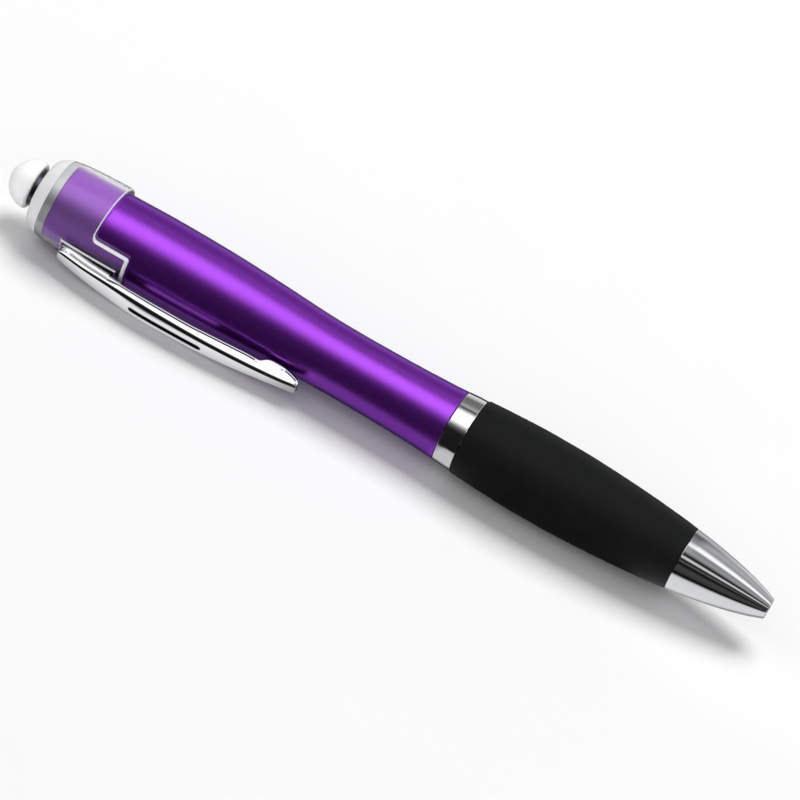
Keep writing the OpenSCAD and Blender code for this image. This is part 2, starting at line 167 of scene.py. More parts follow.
def lathe(name, path, body, nodes, mat, n=192, closed=True, sharp=38, second=None, where=None):
    verts, faces, rings = [], [], []
    for z, r in path:
        if r < 1e-6:
            rings.append([len(verts)])
            verts.append(P(0, 0, z))
        else:
            rings.append(list(range(len(verts), len(verts) + n)))
            verts += [P(r * math.cos(2 * math.pi * k / n), r * math.sin(2 * math.pi * k / n), z) for k in range(n)]
    m = len(path)
    for i in range(m if closed else m - 1):
        a, b = rings[i], rings[(i + 1) % m]
        for k in range(n):
            k2 = (k + 1) % n
            if len(a) == 1 and len(b) == 1:
                continue
            if len(a) == 1:
                faces.append((a[0], b[k], b[k2]))
            elif len(b) == 1:
                faces.append((a[k], b[0], a[k2]))
            else:
                faces.append((a[k], b[k], b[k2], a[k2]))
    chosen = []
    if where is not None:
        at = [(z, r * math.cos(2 * math.pi * k / n), r * math.sin(2 * math.pi * k / n)) for z, r in path for k in range(n if r >= 1e-6 else 1)]
        chosen = [i for i, f in enumerate(faces) if where(*[sum(at[v][k] for v in f) / len(f) for k in range(3)])]
    return piece(name, verts, faces, body, nodes, mat, sharp, second, chosen)


# Barrel faces under the clear collar, which get the paler copy of the lacquer: painted light
def under_collar(z, x, y):
    return math.hypot(x, y) > 5.6 and (z > 123.85 + 0.042 * x or (z > 117.2 and x > 0 and abs(y) < 4.3))


# ---------------------------------------------------------------- materials
def principled(name, base, vary, rough, metallic=0.0, rough_vary=0.06, scale=600.0, bump=0.0, bump_scale=4000.0, stretch=(1, 1, 1), sockets=()):
    """Principled material with procedural colour, gloss and surface detail."""
    m = bpy.data.materials.new(name + "_finish")
    m.use_nodes = True
    nt = m.node_tree
    bs = nt.nodes["Principled BSDF"]
    bs.inputs["Metallic"].default_value = metallic
    for k, v in dict(sockets).items():
        bs.inputs[k].default_value = v
    co = nt.nodes.new("ShaderNodeTexCoord")
    mp = nt.nodes.new("ShaderNodeMapping")
    mp.inputs["Scale"].default_value = stretch
    nt.links.new(co.outputs["Object"], mp.inputs["Vector"])
    big = nt.nodes.new("ShaderNodeTexNoise")
    big.inputs["Scale"].default_value = scale
    big.inputs["Detail"].default_value = 5
    nt.links.new(mp.outputs["Vector"], big.inputs["Vector"])
    ramp = nt.nodes.new("ShaderNodeValToRGB")
    ramp.color_ramp.elements[0].position = 0.3
    ramp.color_ramp.elements[1].position = 0.7
    ramp.color_ramp.elements[0].color = (*[max(0.0, c * (1 - vary)) for c in base], 1)
    ramp.color_ramp.elements[1].color = (*[min(1.0, c * (1 + vary)) for c in base], 1)
    nt.links.new(big.outputs["Fac"], ramp.inputs["Fac"])
    nt.links.new(ramp.outputs["Color"], bs.inputs["Base Color"])
    fine = nt.nodes.new("ShaderNodeTexNoise")
    fine.inputs["Scale"].default_value = bump_scale
    fine.inputs["Detail"].default_value = 3
    nt.links.new(mp.outputs["Vector"], fine.inputs["Vector"])
    rr = nt.nodes.new("ShaderNodeMapRange")
    rr.inputs["To Min"].default_value = max(0.0, rough - rough_vary)
    rr.inputs["To Max"].default_value = rough + rough_vary
    nt.links.new(big.outputs["Fac"], rr.inputs["Value"])
    nt.links.new(rr.outputs["Result"], bs.inputs["Roughness"])
    if bump:
        bp = nt.nodes.new("ShaderNodeBump")
        bp.inputs["Strength"].default_value = bump
        bp.inputs["Distance"].default_value = 0.00002
        nt.links.new(fine.outputs["Fac"], bp.inputs["Height"])
        nt.links.new(bp.outputs["Normal"], bs.inputs["Normal"])
    return m


CHROME = principled("chrome", (0.65, 0.655, 0.665), 0.02, 0.06, 1.0, 0.02, 300, 0.015, 1500)
# Brighter copy of the chrome for the centre ring: painted light, the ring lighter than the nose's chrome because of how
# the light falls on it
RING_CHROME_PAINTED_BRIGHT = principled("chrome_ring_painted_bright", (0.95, 0.955, 0.965), 0.02, 0.06, 1.0, 0.02, 300, 0.015, 1500)
# Whiter, partly diffuse copy of the chrome for the trim ring: painted light, the haze it shows through the frosted end
TRIM_CHROME_PAINTED_WHITE = principled("chrome_trim_painted_white", (0.95, 0.955, 0.965), 0.03, 0.26, 0.65, 0.04, 300, 0.02, 1500)
PURPLE = principled("purple_lacquer", (0.43, 0.06, 0.86), 0.06, 0.32, 0.955, 0.03, 1500, 0.05, 9000, 
                    sockets={"Specular Tint": (0.05, 0.02, 0.1, 1), "Specular IOR Level": 0.2, "Coat Weight": 0.6, "Coat Roughness": 0.25})
# Paler, rougher copy of the purple lacquer for the barrel under the clear collar: the paler colour is painted light
# seen through the collar
PURPLE_PAINTED_PALE = principled("purple_lacquer_painted_pale", (0.52, 0.13, 0.88), 0.05, 0.44, 1.0, 0.04, 1500, 0.05, 9000)
# Brighter copy of the chrome for the clip: painted light, the flange lighter because of how the light falls on it
CLIP_CHROME_PAINTED_BRIGHT = principled("chrome_clip_painted_bright", (0.82, 0.825, 0.835), 0.02, 0.06, 1.0, 0.02, 300, 0.015, 1500)
# Near-black chrome for the clip's underside, lip, recessed root and slot walls: painted shade where these places fall
# dark
CLIP_PAINTED_SHADE = principled("chrome_painted_shade", (0.05, 0.05, 0.053), 0.1, 0.4, 1.0, 0.08, 900, 0.1, 4000)
RUBBER = principled("grip_rubber", (0.0055, 0.006, 0.006), 0.15, 0.6, 0.0, 0.06, 500, 0.25, 9000, sockets={"Specular IOR Level": 0.2})
CLEAR = principled("clear_plastic", (0.95, 0.955, 0.96), 0.01, 0.14, 0.0, 0.04, 400, 0.02, 3000,
                   sockets={"Transmission Weight": 0.975, "IOR": 1.4})
# Frosted clear plastic: the collar's end is frosted, and the same white finish on the rims, beside the slot and on the
# tab's front strip is a painted highlight
FROST_AND_EDGE_HIGHLIGHT = principled("clear_plastic_frosted_edge_highlight", (0.95, 0.955, 0.955), 0.03, 0.4, 0.0, 0.05, 500, 0.05, 3000,
                   sockets={"Transmission Weight": 0.25, "IOR": 1.4})
SILICONE = principled("silicone", (0.93, 0.94, 0.925), 0.015, 0.35, 0.0, 0.05, 400, 0.05, 5000,
                      sockets={"Subsurface Weight": 0.4, "Subsurface Radius": (1.0, 1.0, 1.0), "Subsurface Scale": 0.002})
DARKMETAL = principled("dark_metal", (0.12, 0.125, 0.14), 0.1, 0.3, 1.0, 0.08, 900, 0.05, 4000)
STEEL = principled("steel", (0.62, 0.62, 0.63), 0.05, 0.22, 1.0, 0.06, 900, 0.05, 4000, (1, 6, 6))
SPRING = principled("spring_steel", (0.5, 0.51, 0.53), 0.06, 0.28, 1.0, 0.06, 900, 0.05, 4000)
NICKEL = principled("nickel_silver", (0.66, 0.62, 0.54), 0.05, 0.2, 1.0, 0.06, 1200, 0.05, 6000)
CARBIDE = principled("carbide", (0.3, 0.31, 0.33), 0.08, 0.16, 1.0, 0.05, 3000, 0.05, 9000)
INKTUBE = principled("ink_tube", (0.05, 0.06, 0.16), 0.2, 0.3, 0.0, 0.06, 500, 0.05, 4000, sockets={"Coat Weight": 0.6, "Coat Roughness": 0.1})
WHITE = principled("white_plastic", (0.8, 0.8, 0.78), 0.03, 0.42, 0.0, 0.06, 700, 0.08, 5000)
DARK = principled("dark_plastic", (0.03, 0.03, 0.032), 0.15, 0.45, 0.0, 0.08, 700, 0.1, 5000)
BRASS = principled("brass", (0.72, 0.5, 0.2), 0.06, 0.26, 1.0, 0.07, 900, 0.05, 4000)
CELL = principled("cell_steel", (0.68, 0.68, 0.7), 0.04, 0.2, 1.0, 0.05, 900, 0.04, 4000)
LED = principled("led_epoxy", (0.9, 0.92, 0.96), 0.02, 0.1, 0.0, 0.04, 900, 0.02, 4000, sockets={"Transmission Weight": 0.8, "IOR": 1.5})
BOARD = principled("board_green", (0.03, 0.2, 0.07), 0.2, 0.4, 0.0, 0.08, 1500, 0.1, 5000)

CAD_LOOKS = {"grip_tube": DARK, "drive_tube": STEEL, "retaining_ring": SPRING, "writing_ball": CARBIDE, "refill_tube": INKTUBE,
             "return_spring": SPRING, "twist_plunger": WHITE, "twist_cam": WHITE, "battery_holder": WHITE, "contact_spring": BRASS,
             "button_cells": CELL, "contact_strip": BRASS, "led": LED, "led_leads": STEEL, "circuit_board": BOARD, "switch_body": DARK,
             "switch_actuator": WHITE, "guide_cap": WHITE, "button_spring": SPRING}
for n, m in CAD_LOOKS.items():
    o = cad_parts[n]
    o.data.materials.clear()
    o.data.materials.append(m)

# ---------------------------------------------------------------- lower section
zs = span(0.35, 16.0, 48)
lathe("nose_cone", dense(rounded(
    [(0, 1.25, 0.1), (0, 1.76, 0.16)] + [(z, NOSE(z), 0) for z in zs] + [(16.1, 5.45, 0.06), (16.1, 4.2, 0), (22.5, 4.2, 0.3), (22.5, 2.35, 0.2),
     (5.5, 2.35, 0), (4.9, 1.25, 0)])), "lower", ["nose_cone"], CHROME, 256)

zs = [z for z in span(16.5, 16.15 + 39.3 * .57, 60)] + span(16.15 + 39.3 * .57, 16.15 + 39.3 * .73, 8)[1:] + span(16.15 + 39.3 * .73, 54.9, 34)[1:]
GA, GB = 16.15 + 39.3 * .57, 16.15 + 39.3 * .73
grip_r = lambda z: GRIP_A(z) if z < GA else (7.1 if z < GB else GRIP_B(z))
lathe("grip_sleeve", dense(rounded(
    [(16.15, 5, 0), (16.15, grip_r(16.15), 0.14)] + [(z, grip_r(z), 0) for z in zs] + [(55.45, grip_r(55.45), 0.42), (55.45, 5, 0)], 8)),
    "lower", ["grip_sleeve"], RUBBER, 192)

lathe("center_ring", dense(rounded(
    [(55.5, 4.35, 0), (55.5, 6.39, 0.13), (56.86, 6.36, 0), (58.9, 6.22, 0.13), (58.9, 4.35, 0)]), 0.5), "lower", ["center_ring"], RING_CHROME_PAINTED_BRIGHT, 256)

# ---------------------------------------------------------------- refill point
lathe("refill_tip", dense(rounded(
    [(2.36, 0.28, 0), (2.17, 0.46, 0), (2.05, 0.51, 0), (1.9, 0.53, 0), (1.75, 0.525, 0.02), (1.75, 0.64, 0.04), (3.1, 0.86, 0.2), (3.15, 1.0, 0.03), (4.9, 1.15, 0.3), (10.8, 1.15, 0.05),
     (10.8, 1.04, 0), (15, 1.04, 0.1), (15, 0.28, 0)], 4)), "refill", ["refill_tip"], NICKEL, 96)

# ---------------------------------------------------------------- barrel and tail
zs = span(59.3, 116.4, 124)[:-1] + span(116.4, 125.2, 59)[:-1] + span(125.2, 131.9, 15)
lathe("barrel", dense(rounded(
    [(59, 4.75, 0), (59, BAR(59), 0.12)] + [(z, BAR(z), 0) for z in zs] + [(132.2, BAR(132.2), 0.12), (132.2, 5.45, 0.1), (92.9, 5.45, 0), (91.4, 4.75, 0)])),
    "upper", ["barrel"], PURPLE, 256, second=PURPLE_PAINTED_PALE, where=under_collar)

lathe("trim_ring", dense(rounded(
    [(132.25, 4.4, 0.1), (132.25, 6.34, 0.16), (133.8, 6.34, 0.16), (133.8, 4.4, 0.1)])), "upper", ["trim_ring"], TRIM_CHROME_PAINTED_WHITE, 192)

lathe("led", dense(rounded(
    [(97.9, 0, 0)] + [(99.4 - 1.5 * math.cos(math.radians(a)), 1.5 * math.sin(math.radians(a)), 0) for a in range(5, 91, 5)]
    + [(102.5, 1.5, 0.05), (102.5, 1.88, 0.08), (103.3, 1.88, 0.08), (103.3, 0, 0)]), 0.5, 0.08), "upper", ["led"], CAD_LOOKS["led"], 96)


def coil(name, z0, z1, rm, rw, turns, body, steps=36, sides=12):
    """Round wire wound along the pen, from z0 to z1."""
    n = turns * steps
    verts, faces = [], []
    for i in range(n + 1):
        a, z = 2 * math.pi * i / steps, z0 + rw + (z1 - z0 - 2 * rw) * i / n
        for k in range(sides):
            g = 2 * math.pi * k / sides
            r = rm + rw * math.cos(g)
            verts.append(P(r * math.cos(a), r * math.sin(a), z + rw * math.sin(g)))
    for i in range(n):
        for k in range(sides):
            a, b = i * sides + k, i * sides + (k + 1) % sides
            faces.append((a, a + sides, b + sides, b))
    for i in (0, n):
        a = 2 * math.pi * i / steps
        verts.append(P(rm * math.cos(a), rm * math.sin(a), z0 + rw + (z1 - z0 - 2 * rw) * i / n))
        faces += [(len(verts) - 1, i * sides + k, i * sides + (k + 1) % sides) for k in range(sides)]
    o = piece(name, verts, faces, body, [name], CAD_LOOKS[name])
    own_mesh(o)


coil("return_spring", 5.55, 20.95, 1.88, 0.2, 8, "lower")
coil("button_spring", 130.95, 133.9, 2.6, 0.2, 3, "upper")

lathe("button_stem", dense(rounded(
    [(126, 0, 0), (126, 1.6, 0.12), (133.95, 1.6, 0.2), (133.95, 4.1, 0.12), (134.62, 4.1, 0.12), (134.62, 3.22, 0.06), (137.73, 3.22, 0.06), (137.73, 2.4, 0.05),
     (139.75, 2.4, 0.2), (139.75, 0, 0)]), closed=False), "button", ["button_stem"], DARKMETAL, 160, closed=False)

dome = [(137.8 + 4.2 * math.sin(math.radians(a)), 4.2 * math.cos(math.radians(a))) for a in [90 - 2.5 * k for k in range(1, 36)]]
lathe("stylus_dome", [(142.0, 0)] + dome + dense(rounded(
    [(137.9, 4.199, 0), (137.65, 4.185, 0.1), (137.36, 3.9, 0.14), (137.33, 3.26, 0.04), (137.75, 3.26, 0), (137.75, 2.45, 0.1), (139.8, 2.45, 0.2), (139.8, 0, 0)]), closed=False),
    "button", ["stylus_dome"], SILICONE, 160, closed=False, sharp=60)

lathe("writing_ball", [(1.9 + 0.5 * math.sin(math.radians(a)), 0.5 * math.cos(math.radians(a)) if abs(a) < 90 else 0.0) for a in range(-90, 91, 5)],
      "ball", ["writing_ball"], CARBIDE, 64, closed=False, sharp=60)


# ---------------------------------------------------------------- sheet pieces: a grid on two skins, joined by rounded rims
def collar():
    rho = 0.17
    zc = 122.86
    ys, z0, z1, rc = 1.67 + rho, 118.3 - rho, 128.4 + rho, 0.4 + rho
    # columns of one half, from the clip's side round to the back: (outer angle, inner angle, front station, in the tab)
    half = []
    tab_y = [0, 0.3, 0.6, 0.9, ys - rc, ys - 0.66 * rc, ys - 0.33 * rc, ys, ys + 0.08, ys + 0.16, ys + 0.25, ys + 0.34, 3.0, 3.6, 4.1]
    tab_y = [(y, Z_TAB + rho) for y in tab_y] + [(4.25 + (0.5 - rho) * math.sin(math.radians(a)), Z_TAB + 0.5 - (0.5 - rho) * math.cos(math.radians(a))) for a in range(0, 91, 15)]
    for y, zf in tab_y:
        half.append((math.asin(y / 7.5), math.asin(y / 6.62), zf, True))
    for a in range(15, 91, 15):
        y = 5.55 - (0.8 + rho) * math.cos(math.radians(a))
        half.append((math.asin(y / 7.5), None, zc + (0.8 + rho) * math.sin(math.radians(a)), False))
    edge = half[len(tab_y) - 1]
    t0 = half[-1][0]
    for k in range(1, 45):
        th = t0 + (math.pi - t0) * k / 44
        half.append((th, None, 123.45 + math.tan(math.radians(2.4)) * 7.5 * math.cos(th) + rho, False))
    shift = edge[1] - edge[0]
    half = [(o, i if i is not None else o + shift * max(0.0, 1 - (o - edge[0]) / 0.9), z, tab) for o, i, z, tab in half]
    cols = half + [(-o, -i, z, tab) for o, i, z, tab in reversed(half[1:-1])]
    nb, ns, nc = len(tab_y) - 1, 7, len(cols)
    # rows
    g1 = [(0.0, 0), (0.12, 0), (0.35, 0), (0.65, 0), (1.0, 0)]
    low = [z0 + 0.33 * rc, z0 + 0.66 * rc, z0 + rc] + [z0 + rc + (zc - z0 - rc) * k / 7 for k in range(1, 8)]
    g2 = [0.08, 0.2, 0.4, 0.7, 1.0]
    high = [125.2, 126.1, 127.1, z1 - rc, z1 - 0.66 * rc, z1 - 0.33 * rc, z1, z1 + 0.2, 129.4, 130.3, 131.2]
    r_zc = 4 + len(low)
    rows = 5 + len(low) + len(g2) + len(high)
    r_slot0, r_slot1 = 4, 5 + len(low) + len(g2) + 6
    OUT = curve([(115.8, 7.48), (120, 7.495), (124.45, 7.48), (127.45, 7.39), (129.3, 7.29), (131.2, 7.16), (133, 6.92)])

    def station(c, r):
        zf = cols[c][2]
        if r <= 4:
            return zf + (z0 - zf) * g1[r][0]
        if r <= r_zc:
            return low[r - 5]
        if r <= r_zc + len(g2):
            base = zc if cols[c][3] else zf
            return base + (124.4 - base) * g2[r - r_zc - 1]
        return high[r - r_zc - len(g2) - 1]

    verts, faces = [], []

    def put(th, r, z):
        verts.append(P(r * math.cos(th), r * math.sin(th), z))
        return len(verts) - 1

    def outer(y, z):
        """Outer radius, with a raised bead along the slot's edges."""
        d = (abs(y) - ys - 0.12) / 0.23
        return OUT(z) + 0.2 * max(0.0, 1 - d * d) * step(117.4, 118.3, z) * (1 - step(128.4, 129.3, z))

    spot, vo, vi, frosted_and_highlight_faces = {}, {}, {}, []
    for c in range(nc):
        o, i, zf, tab = cols[c]
        for r in range(rows):
            if not tab and r < r_zc:
                continue
            z = zf if (not tab and r == r_zc) else station(c, r)
            th_o, th_i = o, i
            # slot with round corners
            y = 7.5 * math.sin(o)
            if tab and abs(y) <= ys + 1e-6 and r_slot0 <= r <= r_slot1:
                side, end = abs(abs(y) - ys) < 1e-6, r in (r_slot0, r_slot1)
                zz = z0 if abs(z - z0) < abs(z - z1) else z1
                way = 1 if zz == z0 else -1
                if (side and abs(z - zz) < rc - 1e-6) or (end and abs(y) > ys - rc + 1e-6):
                    a = 45 * (1 - abs(z - zz) / rc) if side else 45 + 45 * (ys - abs(y)) / rc
                    yn = math.copysign(ys - rc + rc * math.cos(math.radians(a)), y)
                    z = zz + way * (rc - rc * math.sin(math.radians(a)))
                    y = yn
            if tab:
                th_o, th_i = math.asin(y / 7.5), math.asin(y / 6.62)
            spot[c, r] = (th_o, th_i, z)
            in_slot = tab and abs(o) < half[ns][0] - 1e-6 and r_slot0 < r < r_slot1
            if not in_slot:
                vo[c, r] = put(th_o, outer(7.5 * math.sin(th_o), z) if tab else OUT(z), z)
                vi[c, r] = put(th_i, BAR(z) + 0.04, z)
    for c in range(nc):
        d = (c + 1) % nc
        for r in range(rows - 1):
            if all(k in vo for k in ((c, r), (d, r), (c, r + 1), (d, r + 1))):
                if r_slot0 <= r < r_slot1 and abs(cols[c][0]) <= half[ns][0] + 1e-6 and abs(cols[d][0]) <= half[ns][0] + 1e-6:
                    continue
                beside = r_slot0 <= r < r_slot1 and ns <= min(c, nc - c) <= ns + 4 and ns <= min(d, nc - d) <= ns + 4
                # white strips beside the slot and along the tab's front edge: painted highlight
                if beside or (r < 2 and cols[c][3] and cols[d][3]):
                    frosted_and_highlight_faces.append(len(faces))
                faces.append((vo[c, r], vo[d, r], vo[d, r + 1], vo[c, r + 1]))
                faces.append((vi[c, r + 1], vi[d, r + 1], vi[d, r], vi[c, r]))
    # round end, hole and counterbore
    end = spline([(131.2, 7.16), (132.1, 7.05), (133, 6.9), (133.7, 6.75), (134.3, 6.57), (134.85, 6.34), (135.3, 6.08), (135.68, 5.77), (135.95, 5.42), (136.12, 5.05), (136.19, 4.7)], 2)[1:]
    end += dense(rounded([(136.2, 4.55, 0), (136.2, 3.6, 0.15), (134.7, 3.6, 0.1), (134.7, 4.5, 0), (133.9, 4.5, 0.08), (133.9, BAR(132.2) + 0.04, 0), (132.2, BAR(132.2) + 0.04, 0), (131.6, BAR(131.6) + 0.04, 0)], 4),
                 0.8, 0.08, closed=False)
    prev = [vo[c, rows - 1] for c in range(nc)]
    for k, (z, r) in enumerate(end):
        f = (k + 1) / (len(end) + 1)
        ring = [put(cols[c][0] * (1 - f) + cols[c][1] * f, r, z) for c in range(nc)]
        for c in range(nc):
            d = (c + 1) % nc
            # the frosted end of the collar
            if z > 133.85 and (r > 6.45 or z > 134.75):
                frosted_and_highlight_faces.append(len(faces))
            faces.append((prev[c], prev[d], ring[d], ring[c]))
        prev = ring
    for c in range(nc):
        d = (c + 1) % nc
        faces.append((prev[c], prev[d], vi[d, rows - 1], vi[c, rows - 1]))

    # rims: out over the edge, across the wall and back in
    def rim(loop, sign):
        lines, n = [], len(loop)
        for j in range(n):
            th_o, th_i, z = spot[loop[j]]
            top = outer(7.5 * math.sin(th_o), z) if sign < 0 else OUT(z)
            a, b = spot[loop[j - 1]], spot[loop[(j + 1) % n]]
            turn = (b[0] - a[0] + math.pi) % (2 * math.pi) - math.pi
            t = Vector((7.5 * turn, b[2] - a[2])).normalized() * sign
            line = [vo[loop[j]]]
            for g, th, r, way in [(g, th_o, top, -1) for g in (22.5, 45, 67.5, 90)] + [(0, 0, 0, 0)] + [(g, th_i, BAR(z) + 0.04, 1) for g in (90, 60, 30)]:
                s, c1 = rho * math.sin(math.radians(g)), rho * (1 - math.cos(math.radians(g)))
                if way == 0:
                    r, th, s, c1 = OUT(z) - 0.36, th_o + (th_i - th_o) * 0.4, rho, 0
                line.append(put(th + s * t.y / r, r + way * c1, z - s * t.x))
            lines.append(line + [vi[loop[j]]])
        for p, q in zip(lines, lines[1:] + lines[:1]):
            for k in range(len(p) - 1):
                # the outer rounding of each rim is white: painted highlight
                if k < 5:
                    frosted_and_highlight_faces.append(len(faces))
                faces.append((p[k], p[k + 1], q[k + 1], q[k]))

    front = [(c, r_zc) for c in range(nb, nc - nb)] + [(nc - nb, r) for r in range(r_zc, 0, -1)]
    front += [(c % nc, 0) for c in range(nc - nb, nc + nb)] + [(nb, r) for r in range(0, r_zc)]
    rim(front, 1)
    slot = [(c % nc, r_slot0) for c in range(nc - ns, nc + ns)] + [(ns, r) for r in range(r_slot0, r_slot1)]
    slot += [(c % nc, r_slot1) for c in range(nc + ns, nc - ns, -1)] + [(nc - ns, r) for r in range(r_slot1, r_slot0, -1)]
    rim(slot, -1)
    return piece("collar", verts, faces, "upper", ["collar"], CLEAR, 50, FROST_AND_EDGE_HIGHLIGHT, frosted_and_highlight_faces)


collar()

FACE = curve([(Z_TIP + 44.9 * a, b) for a, b in ((0, 8.76), (.062, 9.19), (.16, 9.74), (.27, 10.27), (.385, 10.63), (.515, 10.78), (.645, 10.77), (.78, 10.3),
                                                 (.885, 9.8), (.965, 9.25), (1, 8.92))])
HALF = curve([(Z_TIP + 44.9 * a, 2.65 * b) for a, b in ((0, .45), (.012, .515), (.062, .53), (.16, .623), (.27, .763), (.385, .865), (.515, .94), (.645, 1), (.78, .875),
                                                        (.885, .7), (.965, .59), (.985, .52), (1, .36))])
HUMP_R = BAR(88.6) + 0.25


FLANGE = curve([(Z_TIP, 1.6), (91.8, 2.25), (93.25, 2.29), (96.5, 2.23), (99.75, 2.13), (103, 1.96), (106.25, 1.91), (109.5, 1.84), (112.75, 1.72), (116, 1.63), (118.4, 1.66),
                (120, 1.7), (124, 1.75), (128.2, 1.8)])


def side_r(z):
    return math.sqrt(FACE(z)**2 - HALF(z)**2) - FLANGE(z)


HUMP = curve([(Z_TIP, HUMP_R + 1.4), (Z_TIP + .4, HUMP_R + .9), (Z_TIP + 1.5, HUMP_R + .4), (Z_TIP + 3, HUMP_R + .04), (Z_TIP + 3.6, HUMP_R - .03), (Z_TIP + 4.2, HUMP_R - .04),
              (Z_TIP + 4.9, HUMP_R - .02), (Z_TIP + 5.4, HUMP_R + .01), (Z_TIP + 6.0, HUMP_R + .14), (Z_TIP + 6.5, HUMP_R + .42), (Z_TIP + 7.15, HUMP_R + 1.0),
              (Z_TIP + 7.7, side_r(Z_TIP + 8.6) - .05), (Z_TIP + 8.6, side_r(Z_TIP + 8.6)), (Z_TIP + 9.2, side_r(Z_TIP + 9.2))])
ROOT = curve([(118.7, 7.1), (122, 7.0), (125.5, 6.95), (127.5, 7.0)])


def clip():
    t = 0.5
    za, zb, rs = 106.68 - 6.2, 106.68 + 6.2, 0.07   # centres of the slot's round ends
    sw = 0.6 + rs
    zs = [(Z_TIP + 0.16 * (1 - math.cos(math.radians(a))), 0.16 * (1 - math.sin(math.radians(a)))) for a in (0, 22.5, 45, 67.5)]
    zs += [(z, 0) for z in span(Z_TIP + 0.16, 92.6, 66)] + [(z, 0) for z in span(92.6, za - 0.75, 22)[1:]] + [(z, 0) for z in span(za, zb, 36)]
    zs += [(z, 0) for z in span(zb + 0.75, 118.4, 16)] + [(z, 0) for z in span(118.4, 119.2, 12)[1:]] + [(z, 0) for z in span(119.2, 126.9, 26)[1:]]
    zs += [(z, 0) for z in span(126.9, Z_CLIP - 0.16, 12)[1:]]
    zs += [(Z_CLIP - 0.16 * (1 - math.cos(math.radians(a))), 0.16 * (1 - math.sin(math.radians(a)))) for a in (67.5, 45, 22.5, 0)]
    ia = min(i for i, q in enumerate(zs) if abs(q[0] - za) < 1e-6)
    ib = max(i for i, q in enumerate(zs) if abs(q[0] - zb) < 1e-6)

    def section(z, inset):
        F, h = FACE(z) - inset, HALF(z) - inset
        S = (HUMP(z) if z < Z_TIP + 8.6 else side_r(z)) + inset - step(118.42, 118.62, z) * 0.22
        hump = 1 - step(Z_TIP + 6.6, Z_TIP + 8.2, z)
        rc = min(0.7 - 0.04 * step(88, 101, z) - 0.2 * step(112, 124, z), h - 0.12)
        yc = h - rc
        beta = math.asin(yc / (F - rc))
        xc = (F - rc) * math.cos(beta)
        rb = min(0.36 - 0.24 * step(114, 118, z), (xc - S) * 0.7, h * 0.4)
        wide = step(116, 119, z)
        lip, dip = min(1.0, (xc - S) / (1.3 + 0.06 * wide)), step(90.7, 91.4, z) * (1 - step(126, 127, z)) + step(83.5, 83.9, z) * (1 - step(85.6, 87, z))
        root = step(118.46, 118.72, z) * (1 - step(127.3, 127.6, z))
        B = S + root * (min(S, ROOT(min(max(z, 118.7), 127.5)) + inset) - S)
        foot = step(118.95, 119.15, z) * (1 - step(126.95, 127.15, z))
        yw = h - rb - 0.03 - 0.7 * root * (1 - step(118.6, 124, z))
        yf = min(1.5, yw - 0.16)
        yi = min(h - t, yf - 0.04)
        G = B + foot * (min(B, 6.88) - B)
        hollow = step(91.5, 92.6, z) * (1 - step(116.9, 117.9, z))
        ye = F * math.sin(beta)
        y1 = sw if ye > sw * 1.3 else 0.6 * ye
        pts = [(math.sqrt(F * F - (y1 * q) ** 2), y1 * q) for q in (0, 0.383, 0.707, 0.924, 1)]
        pts += [(math.sqrt(F * F - y * y), y) for y in [y1 + (ye - y1) * q for q in (0.1, 0.25, 0.5, 0.75, 0.92)]]
        pts += [(xc + rc * math.cos(a), yc + rc * math.sin(a)) for a in [beta + (math.pi / 2 - beta) * k / 8 for k in range(9)]]
        # the wall ends in a shallow groove and a bevelled lip
        pts += [(xc + (S + (0.9 + 0.42 * wide) * lip - xc) * q, h) for q in (0.15, 0.5, 0.85, 1)]
        pts += [(S + (q + q2 * wide) * lip, h - (d + d2 * wide) * dip) for q, d, q2, d2 in
                ((0.885, 0.05, 0.415, 0), (0.87, 0.13, 0.41, 0.01), (0.84, 0.175, 0.4, 0.07), (0.68, 0.085, 0.27, 0.045), (0.57, 0.02, 0.11, 0.01), (0.5, 0.012, 0.08, 0))]
        pts += [(S + q * lip, h - d * rb) for q, d in ((0.3, 0.17), (0.14, 0.5), (0.04, 0.78), (0, 1))]
        rr = min(0.14, 0.45 * (S - B))
        pts += [(S, yw), (B + rr, yw), (B + 0.3 * rr, yw - 0.3 * rr), (B, yw - rr)]
        rf = min(0.12, 0.45 * (B - G))
        pts += [(B, yf), (G + rf, yf), (G + 0.3 * rf, yf - 0.3 * rf), (G, yf - rf)]
        top = lambda y: G + hollow * (math.sqrt((F - t) ** 2 - y * y) - G)
        ri = min(0.06, 0.3 * (top(yi) - G))
        pts += [(G, yi + ri), (G + 0.3 * ri, yi + 0.3 * ri), (G + ri, yi)]
        pts += [(G + (top(yi) - G) * q, yi) for q in (0.5, 0.92)]
        yj = yi - min(0.15, 0.2 * (yi - y1 * 0.9)) if yi > y1 else yi * 0.95
        y2 = y1 if yj > y1 else yj * 0.9
        pts += [(top(y), y) for y in [yj, yj + (y2 - yj) * 0.4, yj + (y2 - yj) * 0.8]]
        pts += [(top(y2 * q), y2 * q) for q in (1, 0.924, 0.707, 0.383, 0)]
        return pts

    verts, faces, at, painted_shade_faces = [], [], {}, []
    m = len(section(100, 0))
    n = 2 * m - 2
    inner = list(range(m - 5, m + 4))

    def put(x, y, z):
        verts.append(P(x, y, z))
        return len(verts) - 1

